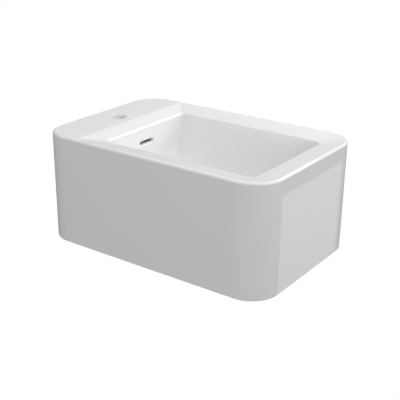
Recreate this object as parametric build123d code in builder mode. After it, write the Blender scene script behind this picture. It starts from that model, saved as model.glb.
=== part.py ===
# Wall-hung bidet: one fired ceramic body, the click-clack waste in its drain and its wall fixings.
# Millimetres. The origin lies on the wall, midway between the two studs. +Y points into the wall,
# the bidet's front faces -Y and +Z is up. Depths are measured down from the tap deck, and
# distances out from the wall.
import os

from build123d import *

os.makedirs("parts", exist_ok=True)

# Outer form of the ceramic body
width = 360.0  # across the sides, at the deck
projection = 540.0  # from the wall to the front edge, at the deck
height = 232.0  # from the skirt's lower edge to the deck
deck_above_studs = 82.0  # from the studs' centre line up to the deck
corner_radius = 62.0  # the four upright corners
draft = 1.5  # how far each free side is drawn in at the skirt's lower edge
edge_radius = 5.0  # rounding all round the deck and the rim
foot_radius = 3.0  # rounding of the skirt's lower edge
skirt_wall = 10.0
rear_wall = 12.0
deck_thickness = 17.0
casting_radius = 6.0  # inside corners under the deck
pick = 0.1  # how closely an edge's place is matched when it is picked

# Sunk frame round the bowl
deck_depth = 95.0  # wall to the crease where the deck ends
rim_fall = 8.0  # how far the frame falls from its outer edge to the bowl's lip
lip_radius = 5.0
rim_land = 1.5  # level strip between the edge rounding and the frame's fall
crease_radius = 10.0  # rounding where the frame starts to fall
valley_radius = 3.0  # where the rear strip meets the side rims, at the outer end

# Bowl
side_rim = 53.0  # bowl's lip to the side of the body
front_rim = 56.0  # bowl's lip to the front of the body
rear_strip = 40.0  # crease to the bowl's rear lip
lip_rear_corner = 8.0
lip_front_corner = 18.0
bowl_front_corner = 62.0  # the front corners open out to this radius towards the floor
drain_depth = 125.0
drain_distance = 235.0
seat_half = 42.0  # half the flat round the drain
seat_corner = 38.0
bowl_wall = 9.0
side_curve = 1.3  # how early the side walls lean in, 1 is at once
rear_curve = 4.0  # the rear wall stays nearly upright
front_curve = 3.4
bowl_roll = 2.5  # how squarely the walls turn into the floor
rear_corner_curve = 6.0  # how late the rear corners widen on the way down
front_corner_curve = 8.0  # how late the front corners close in to the drain's flat
bowl_sections = 8
section_crowding = 2.0  # how much closer the sections lie where the walls turn into the floor

# Overflow
overflow_depth = 42.0
overflow_length = 46.0
overflow_height = 8.5
overflow_edge = 1.5
channel_width = 60.0
channel_gap = 12.0
channel_wall = 8.0
channel_head = 8.0  # channel above the overflow slot's centre
channel_foot = 14.0  # height of the channel where it runs to the drain neck
channel_cover = 13.0  # ceramic between the drain seat and the channel
channel_bevel = 16.0

# Tap hole
tap_hole_radius = 17.5
tap_hole_distance = 57.0
tap_hole_edge = 1.5

# Drain hole and neck
drain_hole_radius = 23.0
neck_wall = 11.0
neck_length = 45.0  # drain seat down to the neck's lower face
seat_clearance = 1.0  # round the waste flange in its recess

# Wall side of the ceramic
stud_spacing = 180.0
stud_hole_radius = 11.0
boss_radius = 22.0
boss_length = 30.0  # wall face to the boss's inner face
cutout_width = 120.0
cutout_height = 130.0  # from the skirt's lower edge up

# Waste body, G 1 1/4
waste_thread_radius = 20.95
waste_bore_radius = 18.0
waste_end_chamfer = 1.0
relief_width = 1.5  # groove that parts the outlet thread from the lock nut's
relief_depth = 0.8
flange_radius = 32.0
flange_thickness = 4.0
flange_edge = 0.8
flange_seat_radius = 27.0
flange_seat_fall = 2.0
waste_tail = 80.0  # underside of the flange to the free end
window_width = 20.0
window_corner = 3.0
hub_radius = 7.5
hub_length = 12.0
hub_drop = 58.0  # flange top to the hub's upper face
spoke_width = 3.5
spoke_bite = 0.5  # how far the spokes run into the tube
spoke_count = 3

# Seals, washer and lock nut of the waste
seal_thickness = 2.0
cone_thickness = 6.0
cone_nose = 4.0
cone_radius = 31.0
cone_bevel = 2.5
slip_thickness = 2.0
slip_radius = 30.0
lock_nut_thickness = 9.0
lock_nut_flats = 54.0
thread_clearance = 0.1
fit_clearance = 0.3

# Click-clack cartridge
plug_travel = 10.0
housing_radius = 9.0
housing_bore = 7.0
housing_drop = 15.0  # flange top to the housing's upper end
housing_floor = 2.0
screw_radius = 4.0
screw_length = 11.0
bush_head = 4.0  # part of the guide bush above the housing
bush_skirt = 9.5  # part of the guide bush inside the housing
running_clearance = 0.05
o_ring_section = 1.8
groove_slack = 0.1  # round the stem seal in its groove
stem_radius = 5.0
stem_drop = 27.0  # flange top to the stem's shoulder, plug raised
stem_thread_radius = 4.0
stem_thread_length = 8.0
rotor_pin_radius = 2.5
rotor_length = 8.0
rotor_clearance = 0.4
tooth_height = 2.0
tooth_root = 0.4  # left under the notches between the rotor's teeth
tooth_count = 8
notch_width = 3.2
crown_gap = 0.5  # between the fixed crown and the rotor's, plug raised
thrust_washer_thickness = 1.0
thrust_washer_radius = 6.2
wire_radius = 0.45
spring_turns = 7
spring_radius = 5.3

# Plug
plug_radius = 31.0
plug_edge = 1.6
plug_dome = 5.0
plug_rim = 0.7
plug_lift = 0.5  # flange top to the plug's underside, plug pressed down
plug_boss_radius = 9.0
plug_boss_length = 6.0
plug_seal_inner = 19.5
plug_seal_outer = 25.5
plug_lock_nut_flats = 13.0
plug_lock_nut_thickness = 3.0

# Wall fixings, M12
stud_radius = 6.0
stud_behind_wall = 40.0
stud_beyond_nut = 5.0
stud_end_chamfer = 1.2
stud_thread_pitch = 1.75
stud_thread_root = 5.0
stud_thread_turns = 12  # ridges of the thread that takes the nut
stud_shank_radius = 5.4
sleeve_flange_radius = 17.0
sleeve_flange = 3.0
sleeve_set_back = 2.0  # from the wall face to the sleeve's end
stud_washer_radius = 14.0
stud_washer_thickness = 2.5
stud_nut_flats = 18.0
stud_nut_thickness = 10.0
nut_chamfer = 0.8

# Levels and places that follow from the sizes above
deck_level = deck_above_studs
skirt_level = deck_level - height
ceiling_level = deck_level - deck_thickness
lip_half_width = width / 2 - side_rim
lip_rear = deck_depth + rear_strip
lip_front = projection - front_rim
slot_level = deck_level - overflow_depth
channel_front = lip_rear - bowl_wall
channel_back = channel_front - channel_gap
duct_top = slot_level + channel_head
lip_level = deck_level - rim_fall
frame_inset = edge_radius + rim_land
drain_level = deck_level - drain_depth
seal_level = drain_level - flange_thickness
recess_level = seal_level - seal_thickness
neck_level = drain_level - neck_length
channel_level = drain_level - channel_cover
slip_level = neck_level - cone_thickness
lock_nut_level = slip_level - slip_thickness
tail_level = seal_level - waste_tail
relief_level = lock_nut_level - lock_nut_thickness - relief_width
hub_level = drain_level - hub_drop
housing_level = drain_level - housing_drop
floor_level = hub_level + housing_floor
bush_level = housing_level + bush_head
crown_level = housing_level - bush_skirt
rotor_level = crown_level - crown_gap - tooth_height
stem_bore_radius = stem_radius + running_clearance
bush_radius = housing_bore - thread_clearance
stem_level = drain_level - stem_drop
washer_level = rotor_level - rotor_length - running_clearance
plug_level = drain_level + plug_lift + plug_travel
boss_level = plug_level - plug_boss_length
washer_face = boss_length + sleeve_flange
drain_section = Plane(origin=(0, -drain_distance, 0), x_dir=(1, 0, 0), z_dir=(0, -1, 0))
drain_line = Axis((0, -drain_distance, 0), (0, 0, 1))
tooth_planes = [drain_section.rotated((0, 360 * tooth / tooth_count, 0)) for tooth in range(tooth_count)]


def drain_plane(level):
    """A level plane centred on the drain."""
    return Plane(origin=(0, -drain_distance, level))


def skirt_outline(depth, wall=0.0, back=0.0):
    """The skirt's outline at a depth, drawn in by its draft and by a wall."""
    drawn_in = draft * depth / height + wall
    length = projection - drawn_in - back
    middle = back + length / 2
    with BuildSketch(Plane(origin=(0, -middle, deck_level - depth))) as outline:
        RectangleRounded(width - 2 * drawn_in, length, corner_radius - drawn_in)
    return outline.sketch


def opening_outline(depth, half_width, rear, front, rear_corner, front_corner):
    """A level outline with its own corner radii at the rear and at the front."""
    with BuildSketch(Plane(origin=(0, -(rear + front) / 2, deck_level - depth))) as outline:
        Rectangle(2 * half_width, front - rear)
        fillet(outline.vertices().group_by(Axis.Y)[-1], rear_corner)
        fillet(outline.vertices().group_by(Axis.Y)[0], front_corner)
    return outline.sketch


def reach(share, curve):
    """Share of the way from drain seat to lip at which the wall still stands, at a share of the fall."""
    return (1 - share**curve) ** (1 / bowl_roll)


def bowl_outline(share, wall=0.0):
    """The bowl's outline at a share of the fall from lip to drain seat, or of its outer skin."""
    depth = rim_fall + (drain_depth - rim_fall + wall) * share
    half_width = seat_half + (lip_half_width - seat_half) * reach(share, side_curve)
    seat_rear = drain_distance - seat_half
    seat_front = drain_distance + seat_half
    rear = seat_rear - (seat_rear - lip_rear) * reach(share, rear_curve)
    front = seat_front + (lip_front - seat_front) * reach(share, front_curve)
    rear_corner = lip_rear_corner + (seat_corner - lip_rear_corner) * share**rear_corner_curve
    front_corner = lip_front_corner + (bowl_front_corner - lip_front_corner) * share
    front_corner += (seat_corner - bowl_front_corner) * share**front_corner_curve
    return opening_outline(
        depth, half_width + wall, rear - wall, front + wall, rear_corner + wall, front_corner + wall
    )


def bowl_shares():
    """Shares of the fall at which the bowl is cut, closer together where it turns into the floor."""
    left = [1 - step / (bowl_sections - 1) for step in range(bowl_sections)]
    return [1 - share**section_crowding for share in left]


# Ceramic body: skirt, deck, sunk frame, bowl, overflow duct and drain neck are one fired piece
with BuildPart() as ceramic_body:
    loft([skirt_outline(height), skirt_outline(0)], ruled=True)
    fillet(ceramic_body.edges().group_by(Axis.Z)[-1], edge_radius)
    fillet(ceramic_body.edges().group_by(Axis.Z)[0], foot_radius)
    loft(
        [skirt_outline(depth, skirt_wall, rear_wall) for depth in (height, deck_thickness)],
        ruled=True,
        mode=Mode.SUBTRACT,
    )
    fillet(
        ceramic_body.edges().filter_by_position(Axis.Z, ceiling_level - pick, ceiling_level + pick),
        casting_radius,
    )
    # Outer skin of the bowl, the neck under its drain and the two stud bosses
    loft([bowl_outline(share, bowl_wall) for share in bowl_shares()])
    with BuildSketch(drain_plane(neck_level)):
        Circle(drain_hole_radius + neck_wall)
    extrude(amount=neck_length)
    with BuildSketch(Plane.XZ):
        with GridLocations(stud_spacing, 0, 2, 1):
            Circle(boss_radius)
    extrude(amount=boss_length)
    # Overflow duct down the back of the bowl and under its floor to the neck
    with BuildSketch(Plane.YZ):
        with BuildLine():
            Polyline(
                (-lip_rear - bowl_wall / 2, ceiling_level + bowl_wall / 2),
                (-channel_back + channel_wall, ceiling_level + bowl_wall / 2),
                (-channel_back + channel_wall, channel_level - channel_foot - channel_wall),
                (-drain_distance, channel_level - channel_foot - channel_wall),
                (-drain_distance, drain_level),
                (-lip_rear - bowl_wall / 2, slot_level),
                close=True,
            )
        make_face()
    extrude(amount=channel_width / 2 + channel_wall, both=True)
    # Sunk frame and bowl
    loft(
        [
            opening_outline(
                0,
                width / 2 - frame_inset,
                deck_depth,
                projection - frame_inset,
                valley_radius,
                corner_radius - frame_inset,
            ),
            bowl_outline(0),
        ],
        ruled=True,
        mode=Mode.SUBTRACT,
    )
    frame_edge = ceramic_body.edges().group_by(Axis.Z)[-1]
    frame_side = width / 2 - frame_inset + pick
    frame_end = frame_inset - projection - pick
    frame_edge = frame_edge.filter_by_position(Axis.Y, frame_end, -deck_depth + pick)
    fillet(frame_edge.filter_by_position(Axis.X, -frame_side, frame_side), crease_radius)
    loft([bowl_outline(share) for share in bowl_shares()], mode=Mode.SUBTRACT)
    fillet(
        ceramic_body.edges().filter_by_position(Axis.Z, lip_level - pick, lip_level + pick),
        lip_radius,
    )
    # Drain recess and hole
    with BuildSketch(drain_plane(recess_level)):
        Circle(flange_radius + seat_clearance)
    extrude(amount=drain_level - recess_level + seat_half, mode=Mode.SUBTRACT)
    with BuildSketch(drain_plane(neck_level)):
        Circle(drain_hole_radius)
    extrude(amount=neck_length, mode=Mode.SUBTRACT)
    # Channel of the overflow, and the slot that feeds it
    with BuildSketch(Plane.YZ):
        with BuildLine():
            Polyline(
                (-channel_front, duct_top),
                (-channel_back, duct_top),
                (-channel_back, channel_level - channel_foot),
                (-drain_distance, channel_level - channel_foot),
                (-drain_distance, channel_level),
                (-channel_front - channel_bevel, channel_level),
                (-channel_front, channel_level + channel_bevel),
                close=True,
            )
        make_face()
    extrude(amount=channel_width / 2, both=True, mode=Mode.SUBTRACT)
    with BuildSketch(Plane.XZ.offset(channel_back + channel_gap / 2)):
        with Locations((0, slot_level)):
            SlotOverall(overflow_length, overflow_height)
    extrude(amount=lip_rear + seat_half - channel_front, mode=Mode.SUBTRACT)
    slot_edges = ceramic_body.edges().filter_by_position(Axis.X, -overflow_length, overflow_length)
    slot_edges = slot_edges.filter_by_position(
        Axis.Z, slot_level - overflow_height, slot_level + overflow_height
    )
    fillet(
        slot_edges.filter_by_position(Axis.Y, -lip_rear - bowl_wall / 4, -lip_rear + bowl_wall / 4),
        overflow_edge,
    )
    # Tap hole, stud holes and the cut-out for pipes and hoses
    with BuildSketch(Plane.XY.offset(deck_level)):
        with Locations((0, -tap_hole_distance)):
            Circle(tap_hole_radius)
    extrude(amount=-deck_thickness, mode=Mode.SUBTRACT)
    tap_mouth = ceramic_body.edges().filter_by(GeomType.CIRCLE).group_by(Axis.Z)[-1]
    fillet(
        tap_mouth.filter_by_position(Axis.Y, -tap_hole_distance - pick, -tap_hole_distance + pick),
        tap_hole_edge,
    )
    with BuildSketch(Plane.XZ):
        with GridLocations(stud_spacing, 0, 2, 1):
            Circle(stud_hole_radius)
    extrude(amount=boss_length, mode=Mode.SUBTRACT)
    arch_level = skirt_level + cutout_height - cutout_width / 2
    with BuildSketch(Plane.XZ):
        with Locations((0, (skirt_level + arch_level) / 2)):
            Rectangle(cutout_width, arch_level - skirt_level)
        with Locations((0, arch_level)):
            Circle(cutout_width / 2)
    extrude(amount=rear_wall, mode=Mode.SUBTRACT)
ceramic_body.part.label = "ceramic_body"
export_step(ceramic_body.part, "parts/ceramic_body.step")

# Waste body: a flanged G 1 1/4 tube with two overflow windows and a spoked hub inside
with BuildPart() as waste_body:
    with BuildSketch(drain_section):
        with BuildLine():
            Polyline(
                (waste_bore_radius, tail_level),
                (waste_thread_radius, tail_level),
                (waste_thread_radius, relief_level),
                (waste_thread_radius - relief_depth, relief_level),
                (waste_thread_radius - relief_depth, relief_level + relief_width),
                (waste_thread_radius, relief_level + relief_width),
                (waste_thread_radius, seal_level),
                (flange_radius, seal_level),
                (flange_radius, drain_level),
                (flange_seat_radius, drain_level),
                (flange_seat_radius, drain_level - flange_seat_fall),
                (waste_bore_radius, drain_level - flange_seat_fall),
                close=True,
            )
        make_face()
    revolve(axis=drain_line)
    fillet(waste_body.edges().group_by(Axis.Z)[-1], flange_edge)
    chamfer(waste_body.edges().group_by(Axis.Z)[0], waste_end_chamfer)
    with BuildSketch(Plane.XZ.offset(drain_distance)):
        with Locations((0, channel_level - channel_foot / 2)):
            RectangleRounded(window_width, channel_foot, window_corner)
    extrude(amount=waste_thread_radius, both=True, mode=Mode.SUBTRACT)
    with BuildSketch(drain_plane(hub_level)):
        Circle(hub_radius)
        with PolarLocations(waste_bore_radius / 2, spoke_count, start_angle=90):
            Rectangle(waste_bore_radius + spoke_bite, spoke_width)
    extrude(amount=-hub_length)
    with BuildSketch(drain_plane(hub_level)):
        Circle(screw_radius + thread_clearance)
    extrude(amount=-hub_length, mode=Mode.SUBTRACT)
waste_body.part.label = "waste_body"
export_step(waste_body.part, "parts/waste_body.step")

# Seal between the flange and the floor of its recess
with BuildPart() as waste_flange_seal:
    with BuildSketch(drain_plane(recess_level)):
        Circle(flange_radius)
        Circle(waste_thread_radius + fit_clearance, mode=Mode.SUBTRACT)
    extrude(amount=seal_thickness)
waste_flange_seal.part.label = "waste_flange_seal"
export_step(waste_flange_seal.part, "parts/waste_flange_seal.step")

# Cone gasket: its nose goes up into the neck, its shoulder lies against the neck's lower face
with BuildPart() as cone_gasket:
    with BuildSketch(drain_section):
        with BuildLine():
            Polyline(
                (waste_thread_radius + fit_clearance, slip_level),
                (cone_radius - cone_bevel, slip_level),
                (cone_radius, slip_level + cone_bevel),
                (cone_radius, neck_level),
                (drain_hole_radius - fit_clearance, neck_level),
                (waste_thread_radius + 2 * fit_clearance, neck_level + cone_nose),
                (waste_thread_radius + fit_clearance, neck_level + cone_nose),
                close=True,
            )
        make_face()
    revolve(axis=drain_line)
cone_gasket.part.label = "cone_gasket"
export_step(cone_gasket.part, "parts/cone_gasket.step")

# Slip washer: lets the lock nut turn without dragging the gasket round
with BuildPart() as slip_washer:
    with BuildSketch(drain_plane(lock_nut_level)):
        Circle(slip_radius)
        Circle(waste_thread_radius + fit_clearance, mode=Mode.SUBTRACT)
    extrude(amount=slip_thickness)
slip_washer.part.label = "slip_washer"
export_step(slip_washer.part, "parts/slip_washer.step")

# Lock nut that pulls the waste down into the neck
with BuildPart() as waste_lock_nut:
    with BuildSketch(drain_plane(lock_nut_level)):
        RegularPolygon(lock_nut_flats / 2, 6, major_radius=False)
    extrude(amount=-lock_nut_thickness)
    chamfer(waste_lock_nut.edges().filter_by(Axis.Z, reverse=True), nut_chamfer)
    with BuildSketch(drain_plane(lock_nut_level)):
        Circle(waste_thread_radius + thread_clearance)
    extrude(amount=-lock_nut_thickness, mode=Mode.SUBTRACT)
waste_lock_nut.part.label = "waste_lock_nut"
export_step(waste_lock_nut.part, "parts/waste_lock_nut.step")

# Cartridge housing: a cup whose screw stands in the waste's hub
with BuildPart() as cartridge_housing:
    with BuildSketch(drain_section):
        with BuildLine():
            Polyline(
                (0, hub_level - screw_length),
                (screw_radius, hub_level - screw_length),
                (screw_radius, hub_level),
                (housing_radius, hub_level),
                (housing_radius, housing_level),
                (housing_bore, housing_level),
                (housing_bore, floor_level),
                (0, floor_level),
                close=True,
            )
        make_face()
    revolve(axis=drain_line)
cartridge_housing.part.label = "cartridge_housing"
export_step(cartridge_housing.part, "parts/cartridge_housing.step")

# Guide bush: closes the housing, holds the stem seal and ends in a fixed crown of teeth
groove_radius = stem_bore_radius + o_ring_section + groove_slack
groove_level = (housing_level + bush_level - o_ring_section) / 2 - groove_slack
groove_top = groove_level + o_ring_section + 2 * groove_slack
with BuildPart() as guide_bush:
    with BuildSketch(drain_section):
        with BuildLine():
            Polyline(
                (stem_bore_radius, crown_level),
                (bush_radius, crown_level),
                (bush_radius, housing_level),
                (housing_radius, housing_level),
                (housing_radius, bush_level),
                (stem_bore_radius, bush_level),
                (stem_bore_radius, groove_top),
                (groove_radius, groove_top),
                (groove_radius, groove_level),
                (stem_bore_radius, groove_level),
                close=True,
            )
        make_face()
    revolve(axis=drain_line)
    with BuildSketch(*tooth_planes):
        with BuildLine():
            Polyline(
                (-notch_width / 2, crown_level),
                (notch_width / 2, crown_level),
                (0, crown_level + tooth_height),
                close=True,
            )
        make_face()
    extrude(amount=housing_bore, mode=Mode.SUBTRACT)
guide_bush.part.label = "guide_bush"
export_step(guide_bush.part, "parts/guide_bush.step")

# Stem seal: an O-ring in the bush's groove
with BuildPart() as stem_seal:
    with BuildSketch(drain_section):
        with Locations((stem_bore_radius + o_ring_section / 2, (groove_level + groove_top) / 2)):
            Circle(o_ring_section / 2)
    revolve(axis=drain_line)
stem_seal.part.label = "stem_seal"
export_step(stem_seal.part, "parts/stem_seal.step")

# Stem: threaded at the top for the plug, with a slim pin at the bottom for the rotor
stem_top = boss_level + stem_thread_length - plug_lock_nut_thickness
with BuildPart() as plug_stem:
    with BuildSketch(drain_section):
        with BuildLine():
            Polyline(
                (0, washer_level - thrust_washer_thickness),
                (rotor_pin_radius, washer_level - thrust_washer_thickness),
                (rotor_pin_radius, stem_level),
                (stem_radius, stem_level),
                (stem_radius, stem_top - stem_thread_length),
                (stem_thread_radius, stem_top - stem_thread_length),
                (stem_thread_radius, stem_top),
                (0, stem_top),
                close=True,
            )
        make_face()
    revolve(axis=drain_line)
plug_stem.part.label = "plug_stem"
export_step(plug_stem.part, "parts/plug_stem.step")

# Cam rotor: turns on the stem's pin under the fixed crown
with BuildPart() as cam_rotor:
    with BuildSketch(drain_plane(rotor_level)):
        Circle(housing_bore - rotor_clearance)
        Circle(rotor_pin_radius + running_clearance, mode=Mode.SUBTRACT)
    extrude(amount=-rotor_length)
    with BuildSketch(drain_plane(rotor_level)):
        Circle(housing_bore - rotor_clearance)
        Circle(stem_radius + fit_clearance, mode=Mode.SUBTRACT)
    extrude(amount=tooth_height)
    with BuildSketch(*tooth_planes):
        with BuildLine():
            Polyline(
                (-notch_width / 2, rotor_level + tooth_height),
                (notch_width / 2, rotor_level + tooth_height),
                (0, rotor_level + tooth_root),
                close=True,
            )
        make_face()
    extrude(amount=housing_bore, mode=Mode.SUBTRACT)
cam_rotor.part.label = "cam_rotor"
export_step(cam_rotor.part, "parts/cam_rotor.step")

# Thrust washer on the pin's end, between the rotor and the spring
with BuildPart() as thrust_washer:
    with BuildSketch(drain_plane(washer_level)):
        Circle(thrust_washer_radius)
        Circle(rotor_pin_radius + running_clearance, mode=Mode.SUBTRACT)
    extrude(amount=-thrust_washer_thickness)
thrust_washer.part.label = "thrust_washer"
export_step(thrust_washer.part, "parts/thrust_washer.step")

# Spring that lifts the plug
spring_foot = floor_level + wire_radius + running_clearance
spring_head = washer_level - thrust_washer_thickness - wire_radius - running_clearance
with BuildPart() as cartridge_spring:
    with BuildLine():
        Helix(
            (spring_head - spring_foot) / spring_turns,
            spring_head - spring_foot,
            spring_radius,
            center=(0, -drain_distance, spring_foot),
        )
    with BuildSketch(Plane(origin=(spring_radius, -drain_distance, spring_foot), z_dir=(0, 1, 0))):
        Circle(wire_radius)
    sweep(is_frenet=True)
cartridge_spring.part.label = "cartridge_spring"
export_step(cartridge_spring.part, "parts/cartridge_spring.step")

# Plug cap: a shallow dome with a threaded boss underneath, shown raised
with BuildPart() as plug_cap:
    with BuildSketch(drain_section):
        with BuildLine():
            Polyline(
                (0, plug_level + plug_edge + plug_dome),
                (0, stem_top + fit_clearance),
                (stem_thread_radius + thread_clearance, stem_top + fit_clearance),
                (stem_thread_radius + thread_clearance, boss_level),
                (plug_boss_radius, boss_level),
                (plug_boss_radius, plug_level),
                (plug_radius, plug_level),
                (plug_radius, plug_level + plug_edge),
            )
            TangentArc(
                (0, plug_level + plug_edge + plug_dome),
                (plug_radius, plug_level + plug_edge),
                tangent=(1, 0),
            )
        make_face()
    revolve(axis=drain_line)
    rim_level = plug_level + plug_edge
    fillet(plug_cap.edges().filter_by_position(Axis.Z, rim_level - pick, rim_level + pick), plug_rim)
plug_cap.part.label = "plug_cap"
export_step(plug_cap.part, "parts/plug_cap.step")

# Plug seal: stops just short of the flange's seat when the plug is pressed down
with BuildPart() as plug_seal:
    with BuildSketch(drain_plane(plug_level)):
        Circle(plug_seal_outer)
        Circle(plug_seal_inner, mode=Mode.SUBTRACT)
    extrude(amount=-(plug_lift + flange_seat_fall - fit_clearance))
plug_seal.part.label = "plug_seal"
export_step(plug_seal.part, "parts/plug_seal.step")

# Thin nut that locks the plug cap at its height on the stem
with BuildPart() as plug_lock_nut:
    with BuildSketch(drain_plane(boss_level)):
        RegularPolygon(plug_lock_nut_flats / 2, 6, major_radius=False)
        Circle(stem_thread_radius + thread_clearance, mode=Mode.SUBTRACT)
    extrude(amount=-plug_lock_nut_thickness)
plug_lock_nut.part.label = "plug_lock_nut"
export_step(plug_lock_nut.part, "parts/plug_lock_nut.step")

# Wall studs: a thread into the wall, a plain shank through the ceramic and a thread for the nut
nut_face = washer_face + stud_washer_thickness
stud_end = nut_face + stud_nut_thickness + stud_beyond_nut
thread_end = stud_end - stud_end_chamfer
thread_start = thread_end - stud_thread_turns * stud_thread_pitch
with BuildPart() as wall_studs:
    with BuildSketch(Plane.XY):
        with BuildLine(Plane(origin=(stud_spacing / 2, 0, 0))):
            ridges = []
            for turn in range(stud_thread_turns):
                ridge_start = thread_start + turn * stud_thread_pitch
                ridges.append((stud_thread_root, -ridge_start))
                ridges.append((stud_radius, -ridge_start - stud_thread_pitch / 2))
            Polyline(
                (0, stud_behind_wall),
                (stud_radius - stud_end_chamfer, stud_behind_wall),
                (stud_radius, stud_behind_wall - stud_end_chamfer),
                (stud_radius, 0),
                (stud_shank_radius, 0),
                (stud_shank_radius, -thread_start),
                *ridges,
                (stud_thread_root, -thread_end),
                (stud_thread_root - stud_end_chamfer, -stud_end),
                (0, -stud_end),
                close=True,
            )
        make_face()
    revolve(axis=Axis((stud_spacing / 2, 0, 0), (0, 1, 0)))
    mirror(about=Plane.YZ)
wall_studs.part.label = "wall_studs"
export_step(wall_studs.part, "parts/wall_studs.step")

# Flanged sleeves that keep the studs off the ceramic
with BuildPart() as stud_sleeves:
    with BuildSketch(Plane.XZ.offset(sleeve_set_back)):
        with GridLocations(stud_spacing, 0, 2, 1):
            Circle(stud_hole_radius - fit_clearance)
    extrude(amount=boss_length - sleeve_set_back)
    with BuildSketch(Plane.XZ.offset(boss_length)):
        with GridLocations(stud_spacing, 0, 2, 1):
            Circle(sleeve_flange_radius)
    extrude(amount=sleeve_flange)
    with BuildSketch(Plane.XZ.offset(sleeve_set_back)):
        with GridLocations(stud_spacing, 0, 2, 1):
            Circle(stud_radius + fit_clearance)
    extrude(amount=boss_length + sleeve_flange - sleeve_set_back, mode=Mode.SUBTRACT)
stud_sleeves.part.label = "stud_sleeves"
export_step(stud_sleeves.part, "parts/stud_sleeves.step")

# Steel washers
with BuildPart() as stud_washers:
    with BuildSketch(Plane.XZ.offset(washer_face)):
        with GridLocations(stud_spacing, 0, 2, 1):
            Circle(stud_washer_radius)
            Circle(stud_radius + fit_clearance, mode=Mode.SUBTRACT)
    extrude(amount=stud_washer_thickness)
stud_washers.part.label = "stud_washers"
export_step(stud_washers.part, "parts/stud_washers.step")

# Nuts that hold the ceramic to the wall
with BuildPart() as stud_nuts:
    with BuildSketch(Plane.XZ.offset(nut_face)):
        with GridLocations(stud_spacing, 0, 2, 1):
            RegularPolygon(stud_nut_flats / 2, 6, major_radius=False)
    extrude(amount=stud_nut_thickness)
    chamfer(stud_nuts.edges().filter_by(Axis.Y, reverse=True), nut_chamfer)
    with BuildSketch(Plane.XZ.offset(nut_face)):
        with GridLocations(stud_spacing, 0, 2, 1):
            Circle(stud_radius + thread_clearance)
    extrude(amount=stud_nut_thickness, mode=Mode.SUBTRACT)
stud_nuts.part.label = "stud_nuts"
export_step(stud_nuts.part, "parts/stud_nuts.step")
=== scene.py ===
# %% [markdown]
# # A wall-hung bidet
# This lesson dresses a bidet that is already built to size: one ceramic casting, the click-clack
# waste in its drain and the fixings that hold it to the wall. The frame brings those parts in.
# Here they get their finishes, the threads that the plain parts leave out, a studio and a camera.

from math import atan2, ceil, cos, floor, pi, radians, sin, tan

import bmesh
import bpy
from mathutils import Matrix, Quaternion, Vector


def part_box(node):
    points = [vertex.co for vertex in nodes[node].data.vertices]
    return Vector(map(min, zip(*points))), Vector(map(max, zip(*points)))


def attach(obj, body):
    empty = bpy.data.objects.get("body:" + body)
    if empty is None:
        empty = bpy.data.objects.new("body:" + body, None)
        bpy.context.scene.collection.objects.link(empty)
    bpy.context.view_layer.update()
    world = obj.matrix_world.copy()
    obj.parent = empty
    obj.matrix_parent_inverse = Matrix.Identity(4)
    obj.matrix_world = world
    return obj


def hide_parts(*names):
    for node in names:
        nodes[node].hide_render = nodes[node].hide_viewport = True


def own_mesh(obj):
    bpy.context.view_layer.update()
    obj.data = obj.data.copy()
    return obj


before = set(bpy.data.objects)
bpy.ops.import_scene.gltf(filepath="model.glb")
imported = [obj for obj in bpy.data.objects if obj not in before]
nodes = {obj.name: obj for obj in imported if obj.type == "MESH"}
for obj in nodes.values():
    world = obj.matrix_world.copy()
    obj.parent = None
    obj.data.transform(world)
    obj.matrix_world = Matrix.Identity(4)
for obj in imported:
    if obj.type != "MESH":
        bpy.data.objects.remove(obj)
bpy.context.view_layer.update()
scene = bpy.context.scene
print("parts in the frame:", len(nodes))

# %% [markdown]
# The camera comes first, because everything else is judged through it. It stands at the left of
# the bidet's front and looks down on the rim. It is aimed at the middle of the ceramic body and
# then shifted a little, which moves the picture without turning the camera.

# %% The camera
body_low, body_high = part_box("ceramic_body")
body_middle = (body_low + body_high) / 2
camera_azimuth = radians(-54.38)
camera_elevation = radians(21.15)
camera_distance = 1.730
camera_roll = radians(0.45)

camera_data = bpy.data.cameras.new("camera")
camera_data.sensor_width = 36
camera_data.lens = 74.6
camera_data.shift_x = 0.0058
camera_data.shift_y = -0.0315
camera = bpy.data.objects.new("camera", camera_data)
toward_camera = Vector(
    (
        sin(camera_azimuth) * cos(camera_elevation),
        -cos(camera_azimuth) * cos(camera_elevation),
        sin(camera_elevation),
    )
)
camera.rotation_mode = "QUATERNION"
camera.location = body_middle + toward_camera * camera_distance
roll = Quaternion((0, 0, 1), camera_roll)
camera.rotation_quaternion = (-toward_camera).to_track_quat("-Z", "Y") @ roll
scene.collection.objects.link(camera)
scene.camera = camera
print("camera at", [round(v, 3) for v in camera.location])

# %% [markdown]
# A white product on a white ground keeps its outline only if the ground is lit apart from it. The
# floor and the backdrop are white paper that only the camera sees, so no grey shadow runs over
# them. The floor lies far below the bidet, so a low camera still sees the part from beneath. The
# light on the glaze comes from soft boxes and a dim room, whose powers add up, so most of them
# were tried alone and then weighed until the deck, the rims and the walls had the right greys.

# %% The paper floor and backdrop
scene.view_settings.view_transform = "Standard"
floor_drop = 1.3
floor_level = body_low.z - floor_drop
floor_half = 6.0
backdrop_radius = 9.0
backdrop_facets = 48


def glowing(name, strength):
    """A surface that only gives off white light."""
    material = bpy.data.materials.new(name)
    material.use_nodes = True
    tree = material.node_tree
    tree.nodes.remove(tree.nodes["Principled BSDF"])
    glow = tree.nodes.new("ShaderNodeEmission")
    glow.inputs["Strength"].default_value = strength
    tree.links.new(glow.outputs["Emission"], tree.nodes["Material Output"].inputs["Surface"])
    return material


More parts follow.
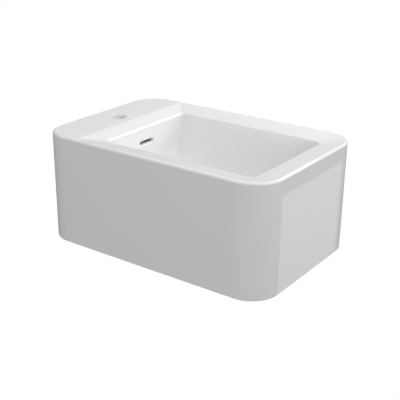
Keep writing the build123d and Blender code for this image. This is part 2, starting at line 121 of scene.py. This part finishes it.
def studio_object(name, mesh, material, seen_by_camera):
    """Part of the studio, seen either by the camera alone or in reflections alone."""
    data = bpy.data.meshes.new(name)
    mesh.to_mesh(data)
    mesh.free()
    data.materials.append(material)
    thing = bpy.data.objects.new(name, data)
    thing.visible_camera = seen_by_camera
    thing.visible_glossy = not seen_by_camera
    thing.visible_diffuse = False
    thing.visible_transmission = False
    thing.visible_shadow = False
    scene.collection.objects.link(thing)


paper = glowing("paper", 1.0)
floor_mesh = bmesh.new()
bmesh.ops.create_grid(floor_mesh, x_segments=1, y_segments=1, size=floor_half)
bmesh.ops.translate(floor_mesh, verts=floor_mesh.verts, vec=(0, 0, floor_level))
studio_object("floor", floor_mesh, paper, True)
backdrop_mesh = bmesh.new()
bmesh.ops.create_uvsphere(
    backdrop_mesh,
    u_segments=backdrop_facets,
    v_segments=backdrop_facets // 2,
    radius=backdrop_radius,
)
studio_object("backdrop", backdrop_mesh, paper, True)
print("floor at", round(floor_level, 3))

# %% [markdown]
# A soft box is a wide lamp behind cloth, so its light has no hard edge. Each of these stands in
# its own direction. None of them is mirrored in the glaze, where each would show as a square. The
# one called hollow lights the underside, so the tap hole is not black.

# %% The soft boxes
light_power = {
    "room": 0.1919,
    "overhead": 16.63,
    "overhead_front": 24.16,
    "left": 9.588,
    "left_front": 8.577,
    "left_back": 4.778,
    "right_front": 17.38,
    "right": 39.48,
    "below": 3.394,
    "window_card": 0.9059,
    "edge_card": 9,
    "behind": 14,
    "hollow": 1.6,
}
soft_boxes = {
    "overhead": ((0.0, -0.3, 2.2), 2.0),
    "overhead_front": ((0.2, -2.0, 1.9), 1.4),
    "left": ((-2.4, -0.3, 0.5), 1.4),
    "left_front": ((-1.8, -1.9, 0.5), 1.2),
    "left_back": ((-2.0, 1.2, 0.4), 1.2),
    "right_front": ((1.9, -2.0, 1.1), 1.2),
    "right": ((2.4, -0.3, 1.3), 1.4),
    "below": ((-1.2, -1.2, -1.8), 1.6),
    "behind": ((0.5, 2.4, 0.3), 1.4),
    "hollow": ((0.0, -0.09, -0.62), 0.3),
}
aims = {"hollow": Vector((0.0, -0.06, 0.07))}

world = bpy.data.worlds.new("room")
scene.world = world
world.use_nodes = True
world.node_tree.nodes["Background"].inputs["Color"].default_value = (1, 1, 1, 1)
world.node_tree.nodes["Background"].inputs["Strength"].default_value = light_power["room"]

for name, (place, size) in soft_boxes.items():
    lamp_data = bpy.data.lights.new(name, "AREA")
    lamp_data.shape = "SQUARE"
    lamp_data.size = size
    lamp_data.energy = light_power[name]
    lamp = bpy.data.objects.new(name, lamp_data)
    lamp.location = place
    lamp.rotation_mode = "QUATERNION"
    toward = aims.get(name, body_middle) - Vector(place)
    lamp.rotation_quaternion = toward.to_track_quat("-Z", "Y")
    lamp.visible_glossy = False
    scene.collection.objects.link(lamp)
print("soft boxes:", len(soft_boxes))

# %% [markdown]
# Glaze is a thin layer of glass, so it mirrors a little of what stands round it. Two cards are
# there only to be mirrored: one low at the right draws the window-like patch on the front, and
# one high at the right draws the bright line along the front edge.

# %% The cards
cards = {
    "window_card": (
        (0.45, -1.04, -0.95),
        (1.19, -1.04, -0.95),
        (1.19, -1.04, -0.367),
        (0.774, -1.04, -0.367),
    ),
    "edge_card": (
        (0.88, -1.30, 0.74),
        (1.32, -1.18, 0.70),
        (1.32, -0.47, 1.01),
        (0.88, -0.59, 1.05),
    ),
}
for name, corners in cards.items():
    card_mesh = bmesh.new()
    card_mesh.faces.new([card_mesh.verts.new(corner) for corner in corners])
    studio_object(name, card_mesh, glowing(name, light_power[name]), False)
print("cards:", ", ".join(cards))

# %% [markdown]
# Each finish starts from one shader with a plain colour, whose roughness and bump come from noise
# on the part's own coordinates, so it holds still when a part moves and never repeats. The helper below
# lays down what they share: a faint change of gloss and a faint bump. Spread is how far the
# roughness varies, grain is in waves per metre and relief is in metres.

# %% The helpers for finishes
def wire(tree, kind, inputs, **settings):
    """Add a node; inputs maps a socket to a value or to the output of another node."""
    node = tree.nodes.new(kind)
    for key, value in settings.items():
        setattr(node, key, value)
    for socket, value in inputs.items():
        if isinstance(value, bpy.types.NodeSocket):
            tree.links.new(value, node.inputs[socket])
        else:
            node.inputs[socket].default_value = value
    return node


def maths(tree, operation, first, second):
    """The output of one sum on two values or outputs."""
    return wire(tree, "ShaderNodeMath", {0: first, 1: second}, operation=operation).outputs[0]


def finish(name, colour, metallic, roughness, spread, grain, relief, stretch=(1, 1, 1)):
    """A shader whose gloss and surface vary with noise."""
    material = bpy.data.materials.new(name)
    material.use_nodes = True
    tree = material.node_tree
    shader = tree.nodes["Principled BSDF"]
    shader.inputs["Base Color"].default_value = (*colour, 1)
    shader.inputs["Metallic"].default_value = metallic
    place = tree.nodes.new("ShaderNodeTexCoord").outputs["Object"]
    drawn = wire(tree, "ShaderNodeMapping", {"Vector": place, "Scale": stretch})
    noise = wire(
        tree, "ShaderNodeTexNoise", {"Vector": drawn.outputs["Vector"], "Scale": grain, "Detail": 3}
    ).outputs["Fac"]
    gloss = wire(
        tree,
        "ShaderNodeMapRange",
        {"Value": noise, "To Min": roughness - spread, "To Max": roughness + spread},
    )
    bump = wire(tree, "ShaderNodeBump", {"Height": noise, "Strength": 1, "Distance": relief})
    tree.links.new(gloss.outputs["Result"], shader.inputs["Roughness"])
    tree.links.new(bump.outputs["Normal"], shader.inputs["Normal"])
    return material


# %% [markdown]
# The casting is glazed white where it is seen and touched. It stood on its lower edge in the
# kiln, and its back is ground flat to meet the wall, so both of those show the bare, matt fired
# clay. A mask on height and depth tells the two apart, and a little noise wavers the line where
# the glaze was wiped off.

# %% The glaze
white = (0.85, 0.85, 0.85)
fired_clay = (0.78, 0.74, 0.68)
bare_roughness = 0.65
bare_height = 0.0008
bare_depth = 0.0006
waver_grain = 90
waver_height = 0.0006

glaze = finish("glazed_ceramic", white, 0, 0.03, 0.01, 9, 0.00003)
tree = glaze.node_tree
shader = tree.nodes["Principled BSDF"]
place = tree.nodes["Texture Coordinate"].outputs["Object"]
glaze_foot = body_low.z + bare_height
glaze_back = body_high.y - bare_depth

axes = wire(tree, "ShaderNodeSeparateXYZ", {0: place})
waver = wire(tree, "ShaderNodeTexNoise", {"Vector": place, "Scale": waver_grain})
foot_line = maths(tree, "ADD", maths(tree, "MULTIPLY", waver.outputs["Fac"], waver_height), glaze_foot)
foot = maths(tree, "LESS_THAN", axes.outputs["Z"], foot_line)
back = maths(tree, "GREATER_THAN", axes.outputs["Y"], glaze_back)
bare = maths(tree, "MAXIMUM", foot, back)
colours = {0: bare, 6: (*white, 1), 7: (*fired_clay, 1)}
clay = wire(tree, "ShaderNodeMix", colours, data_type="RGBA")
gloss = tree.nodes["Map Range"].outputs["Result"]
rough = maths(tree, "ADD", gloss, maths(tree, "MULTIPLY", bare, bare_roughness))
tree.links.new(clay.outputs[2], shader.inputs["Base Color"])
tree.links.new(rough, shader.inputs["Roughness"])
print("glaze ends at", round(glaze_foot, 4), "and", round(glaze_back, 4))

# %% [markdown]
# The fittings have the finishes of shop parts: plated brass where water and eyes reach it, plain
# turned brass for the nuts, moulded plastics for the pieces that guide and insulate, and black
# rubber for every seal. The screws and washers are zinc plated, and the spring is drawn wire,
# whose noise is stretched along its length.

# %% The finishes of the fittings
chrome = (0.78, 0.79, 0.80)
finishes = {
    "glazed_ceramic": glaze,
    "chromed_brass": finish("chromed_brass", chrome, 1, 0.06, 0.02, 120, 0.000002),
    "brass": finish("brass", (0.72, 0.50, 0.22), 1, 0.28, 0.07, 90, 0.00002, (1, 1, 14)),
    "rubber": finish("rubber", (0.025, 0.025, 0.027), 0, 0.62, 0.08, 900, 0.00003),
    "white_plastic": finish("white_plastic", (0.82, 0.82, 0.80), 0, 0.42, 0.06, 700, 0.00001),
    "grey_plastic": finish("grey_plastic", (0.24, 0.25, 0.27), 0, 0.45, 0.06, 700, 0.00001),
    "zinc_steel": finish("zinc_steel", (0.66, 0.67, 0.69), 1, 0.30, 0.10, 260, 0.00001),
    "spring_steel": finish("spring_steel", (0.46, 0.46, 0.48), 1, 0.26, 0.08, 500, 0.00001, (1, 1, 0.2)),
}
for node in nodes.values():
    slot = node.material_slots[0].material.name.split(".")[0]
    node.material_slots[0].material = finishes[slot]
print("finishes:", len(finishes))

# %% [markdown]
# The tail of the waste carries a pipe thread that the plain part leaves as a smooth cylinder.
# Here the thread is relief in the finish and not in the mesh: a ridge that climbs one pitch in
# each turn round the drain's axis, only below the ceramic and only within tail_skin of the
# outside.

# %% The thread on the waste's tail
waste_low, waste_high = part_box("waste_body")
waste_middle = (waste_low + waste_high) / 2
tail_radius = 0.02095
tail_top = -0.088
tail_pitch = 0.002309
tail_depth = 0.0009
tail_skin = 0.0004

tail = finish("threaded_chrome", chrome, 1, 0.08, 0.03, 120, 0.000002)
tree = tail.node_tree
place = tree.nodes["Texture Coordinate"].outputs["Object"]
centre = (-waste_middle.x, -waste_middle.y, 0)
moved = wire(tree, "ShaderNodeVectorMath", {0: place, 1: centre}, operation="ADD")
axes = wire(tree, "ShaderNodeSeparateXYZ", {0: moved.outputs[0]})
turn = maths(tree, "DIVIDE", maths(tree, "ARCTAN2", axes.outputs["Y"], axes.outputs["X"]), 2 * pi)
climb = maths(tree, "DIVIDE", axes.outputs["Z"], tail_pitch)
ridge = maths(tree, "PINGPONG", maths(tree, "SUBTRACT", climb, turn), 0.5)
level = wire(tree, "ShaderNodeCombineXYZ", {0: axes.outputs["X"], 1: axes.outputs["Y"]})
reach = wire(tree, "ShaderNodeVectorMath", {0: level.outputs[0]}, operation="LENGTH")
outside = maths(tree, "GREATER_THAN", reach.outputs["Value"], tail_radius - tail_skin)
under = maths(tree, "LESS_THAN", axes.outputs["Z"], tail_top)
height = maths(tree, "MULTIPLY", ridge, maths(tree, "MULTIPLY", outside, under))
faint = tree.nodes["Bump"].outputs["Normal"]
sockets = {"Height": height, "Distance": 2 * tail_depth, "Strength": 1, "Normal": faint}
relief = wire(tree, "ShaderNodeBump", sockets)
tree.links.new(relief.outputs["Normal"], tree.nodes["Principled BSDF"].inputs["Normal"])
nodes["waste_body"].material_slots[0].material = tail
print("tail thread below", tail_top, "pitch", tail_pitch)

# %% [markdown]
# A screw thread is a profile that climbs as it turns. Each row of points below follows the helix
# along one edge of the profile, which is given in shares of one pitch. Each row stops at the ends
# of the thread, where a limit shapes it: a cone at the rod's free end and a run-out at the shank.
# Rows that meet after one turn are merged, which leaves one closed skin.

# %% The helpers for threads
segments = 48
profile = (0, 0.125, 0.4375, 0.6875)
sharp_angle = radians(30)
merge_gap = 2e-7


def thread_radius(phase, crest, root):
    """The radius at a share of one pitch: crest flat, flank, root flat, flank."""
    edges = list(zip((*profile, 1), (crest, crest, root, root, crest)))
    for (start, first), (end, last) in zip(edges, edges[1:]):
        if phase <= end:
            return first + (last - first) * (phase - start) / (end - start)
    return crest


def thread_rows(start, end, pitch, crest, root, start_limit, end_limit):
    """Rows of (angle, along, radius) on a helix; a limit takes the distance to its end and a radius."""
    rows = []
    for turn in range(floor(start / pitch) - 2, ceil(end / pitch) + 1):
        for share in profile:
            row = []
            for step in range(segments + 1):
                along = min(max((turn + share + step / segments) * pitch, start), end)
                phase = (along / pitch - step / segments) % 1
                radius = thread_radius(phase, crest, root)
                radius = start_limit(along - start, radius)
                radius = end_limit(end - along, radius)
                row.append((2 * pi * step / segments, along, radius))
            rows.append(row)
    return rows


def skin(mesh, rows, put, closed):
    """Join rows of points into faces; put turns (angle, along, radius) into a place."""
    grid = [[mesh.verts.new(put(*point)) for point in row] for row in rows]
    pairs = zip(grid, grid[1:] + grid[:1]) if closed else zip(grid, grid[1:])
    for lower, upper in pairs:
        for column in range(len(lower) - 1):
            mesh.faces.new((lower[column], lower[column + 1], upper[column + 1], upper[column]))


def settle(name, mesh, node, slot):
    """Merge doubles, turn the faces outwards and put the piece in the place of a plain part."""
    bmesh.ops.remove_doubles(mesh, verts=mesh.verts, dist=merge_gap)
    bmesh.ops.dissolve_degenerate(mesh, edges=mesh.edges, dist=merge_gap / 2)
    open_edges = [edge for edge in mesh.edges if edge.is_boundary]
    if open_edges:
        bmesh.ops.holes_fill(mesh, edges=open_edges, sides=0)
    bmesh.ops.recalc_face_normals(mesh, faces=mesh.faces)
    for face in mesh.faces:
        face.smooth = True
    data = bpy.data.meshes.new(name)
    mesh.to_mesh(data)
    mesh.free()
    data.set_sharp_from_angle(angle=sharp_angle)
    data.materials.append(finishes[slot])
    piece = bpy.data.objects.new(name, data)
    scene.collection.objects.link(piece)
    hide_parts(node)
    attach(piece, "plug" if node == "plug_lock_nut" else "bidet")
    print(name, len(data.polygons), "faces")


# %% [markdown]
# A wall stud is an M12 rod with a thread at each end: one end screws into the wall, and the other
# takes the nut. The shank between them is rolled a little thinner, so it clears its sleeve.

# %% The wall studs
stud_low, stud_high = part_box("wall_studs")
stud_radius = (stud_high.z - stud_low.z) / 2
stud_height = (stud_high.z + stud_low.z) / 2
stud_across = (stud_high.x - stud_low.x) / 2 - stud_radius
stud_pitch = 0.00175
thread_depth_share = 0.6134
stud_root = stud_radius - thread_depth_share * stud_pitch
shank_radius = 0.0054
shank_start = -0.0283
shank_end = 0.0
run_out = 0.0012


def chamfered(distance, radius):
    """The cone at a rod's free end."""
    return min(radius, stud_radius - run_out + distance)


def faded(distance, radius):
    """The run-out, where the thread fades into the shank."""
    return shank_radius + (radius - shank_radius) * min(1, distance / run_out)


def round_stud(side):
    """Turn (angle, along, radius) into a place round the stud on one side."""
    return lambda angle, along, radius: (
        side + radius * sin(angle),
        along,
        stud_height + radius * cos(angle),
    )


stud_mesh = bmesh.new()
for side in (-stud_across, stud_across):
    inner = thread_rows(stud_low.y, shank_start, stud_pitch, stud_radius, stud_root, chamfered, faded)
    outer = thread_rows(shank_end, stud_high.y, stud_pitch, stud_radius, stud_root, faded, chamfered)
    skin(stud_mesh, inner + outer, round_stud(side), closed=False)
settle("threaded_studs", stud_mesh, "wall_studs", "zinc_steel")

# %% [markdown]
# A hexagon nut is turned before it is cut off, so a cone takes the points of the hexagon away and
# leaves a curved edge on each flat. For every angle the nut below takes the hexagon's radius and
# starts the cone where the two meet. Its size, its bore and the angle of its corners are measured
# on the plain nut that it replaces. One plain part may hold two nuts, so only the points within
# nut_reach of the axis are measured.

# %% The helpers for nuts
nut_steps = 72
crown_share = 0.955
crown_slope = tan(radians(30))
lead_in = 0.0005
nut_reach = 0.06


def nut_rows(bore, corner_radius, corner, low, high):
    """Closed rows of (angle, along, radius) round a hexagon nut with both crowns and both lead-ins."""
    rows = [[] for _ in range(8)]
    flat = corner_radius * cos(radians(30))
    face = flat * crown_share
    for step in range(nut_steps + 1):
        angle = corner + 2 * pi * step / nut_steps
        from_flat = (2 * pi * step / nut_steps) % radians(60) - radians(30)
        side = flat / cos(from_flat)
        drop = (side - face) * crown_slope
        points = (
            (low, bore + lead_in),
            (low, face),
            (low + drop, side),
            (high - drop, side),
            (high, face),
            (high, bore + lead_in),
            (high - lead_in, bore),
            (low + lead_in, bore),
        )
        for row, (along, radius) in zip(rows, points):
            row.append((angle, along, radius))
    return rows


def measure_nut(node, axis, middle):
    """Bore radius, corner radius, corner angle and the two ends of a plain nut round an axis."""
    spots = [node.matrix_world @ vertex.co - middle for vertex in node.data.vertices]
    if axis == "Y":
        polar = [(Vector((p.x, p.z)).length, atan2(p.x, p.z), p.y) for p in spots]
    else:
        polar = [(Vector((p.x, p.y)).length, atan2(p.y, p.x), p.z) for p in spots]
    polar = [spot for spot in polar if spot[0] < nut_reach]
    bore = min(polar)[0]
    corner_radius, corner, _ = max(polar)
    alongs = [spot[2] for spot in polar]
    return bore, corner_radius, corner, min(alongs), max(alongs)


# %% [markdown]
# The two stud nuts clamp the bidet to the wall through a washer and a plastic sleeve. They are
# made together, as one piece with two nuts, because the plain part holds both.

# %% The stud nuts
nut_mesh = bmesh.new()
for side in (-stud_across, stud_across):
    measured = measure_nut(nodes["stud_nuts"], "Y", Vector((side, 0, stud_height)))
    skin(nut_mesh, nut_rows(*measured), round_stud(side), closed=True)
settle("crowned_stud_nuts", nut_mesh, "stud_nuts", "zinc_steel")
print("bore and corner radius in mm", [round(1000 * v, 2) for v in measured[:2]])

# %% [markdown]
# The large brass nut pulls the waste down against the ceramic neck, and the small one locks the
# plug on its stem. Both turn round the drain's axis, so one loop makes them.

# %% The lock nuts of the waste and the plug
def round_drain(middle):
    """Turn (angle, along, radius) into a place round an upright axis through the middle."""
    return lambda angle, along, radius: (
        middle.x + radius * cos(angle),
        middle.y + radius * sin(angle),
        along,
    )


for name, node in (("crowned_lock_nut", "waste_lock_nut"), ("crowned_plug_nut", "plug_lock_nut")):
    nut_low, nut_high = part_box(node)
    middle = Vector(((nut_low.x + nut_high.x) / 2, (nut_low.y + nut_high.y) / 2, 0))
    measured = measure_nut(nodes[node], "Z", middle)
    nut_mesh = bmesh.new()
    skin(nut_mesh, nut_rows(*measured), round_drain(middle), closed=True)
    settle(name, nut_mesh, node, "brass")
    print("bore and corner radius in mm", [round(1000 * v, 2) for v in measured[:2]])

# %% [markdown]
# The spring is the one part that changes shape: it shortens when the plug goes down, while its
# lower end stays on the hub. A copy of the plain spring takes its place.

# %% The spring
spring_data = nodes["cartridge_spring"].data.copy()
spring_data.transform(nodes["cartridge_spring"].matrix_world)
spring_data.materials[0] = finishes["spring_steel"]
spring = bpy.data.objects.new("coiled_spring", spring_data)
scene.collection.objects.link(spring)
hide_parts("cartridge_spring")
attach(spring, "bidet")
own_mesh(spring)
